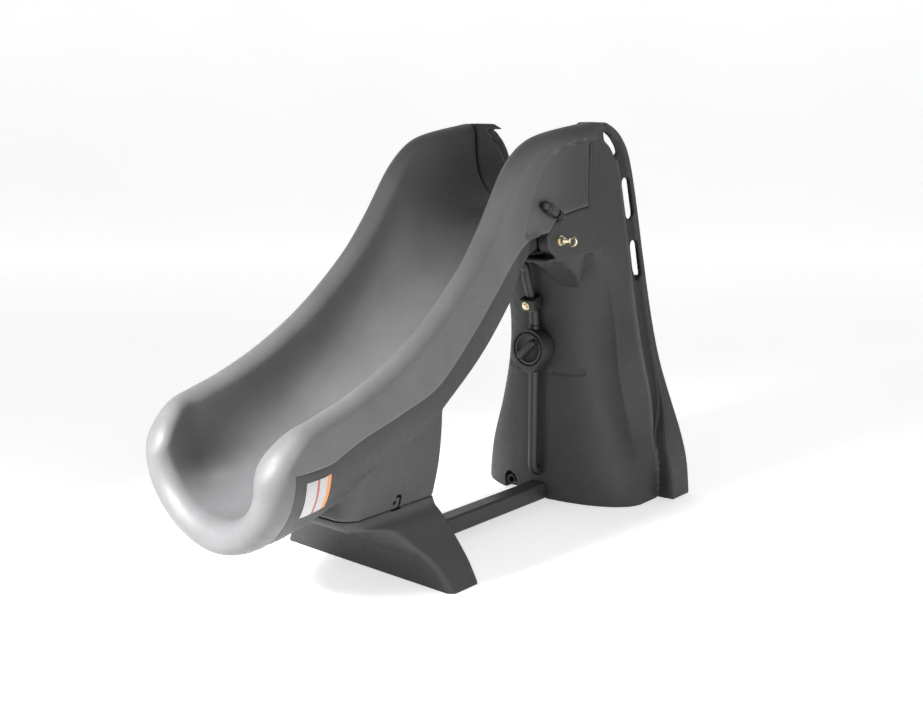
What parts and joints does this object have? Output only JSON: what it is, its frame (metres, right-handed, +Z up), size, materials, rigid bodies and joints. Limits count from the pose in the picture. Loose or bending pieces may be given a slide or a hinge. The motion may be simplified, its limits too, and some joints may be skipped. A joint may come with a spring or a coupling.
{
  "type": "pool slide",
  "caption": "Removable pool slide: open flume on a ladder tower and a flared front foot joined by a tube, with a water line and valve.",
  "frame": {"origin": "centre of the footprint at deck level", "axes": "+Z up, -Y towards the exit lip, +Y towards the ladder, +X to the right seen from the exit end"},
  "size_m": [0.7422, 1.7892, 1.268],
  "materials": {
    "flume": "fine-grained satin, moulded",
    "body": "fine-grained satin, moulded",
    "tower": "fine-grained satin, moulded",
    "foot": "fine-grained satin, moulded",
    "tread": "grooved, matte",
    "tube": "satin powder coat",
    "pipe": "satin",
    "valve": "satin",
    "black": "satin",
    "rubber": "soft matte",
    "zinc": "yellow zinc plate",
    "bright_screw": "plain",
    "label": "printed film with an orange and a red stripe, no text"
  },
  "bodies": {
    "slide": {"flume_shell": "flume", "flume_body": "body", "front_foot": "foot", "spine_tube": "tube", "tower_shell": "tower", "ladder_tread_1": "tread", "ladder_tread_2": "tread", "ladder_tread_3": "tread", "pivot_eyebolt_right": "zinc", "pivot_eyebolt_left": "zinc", "pivot_nuts": "zinc", "pivot_washers": "zinc", "hook_screws": "bright_screw", "inlet_fitting": "black", "inlet_hose_washer": "rubber", "lower_pipe": "pipe", "valve_housing": "valve", "upper_pipe": "pipe", "clamp_saddle": "black", "clamp_bolt": "zinc", "clamp_washer": "zinc", "flume_hose": "pipe", "hose_tail": "black", "spray_nozzle": "black", "coupling_elbow": "black", "coupling_body": "valve", "coupling_tail": "black", "safety_label": "label"},
    "dial": {"valve_dial": "valve", "valve_stem": "black"},
    "collar": {"coupling_collar": "rubber"}
  },
  "joints": [
    {"name": "valve_turn", "type": "hinge", "parent": "slide", "child": "dial", "pos_m": [0, 0.448, 0.531], "axis": [0, -1, 0], "range_deg": [-45, 45]},
    {"name": "collar_pull", "type": "slide", "parent": "slide", "child": "collar", "axis": [0, -0.9063, 0.4226], "range_m": [0, 0.008], "stiffness_N_per_m": 400}
  ]
}
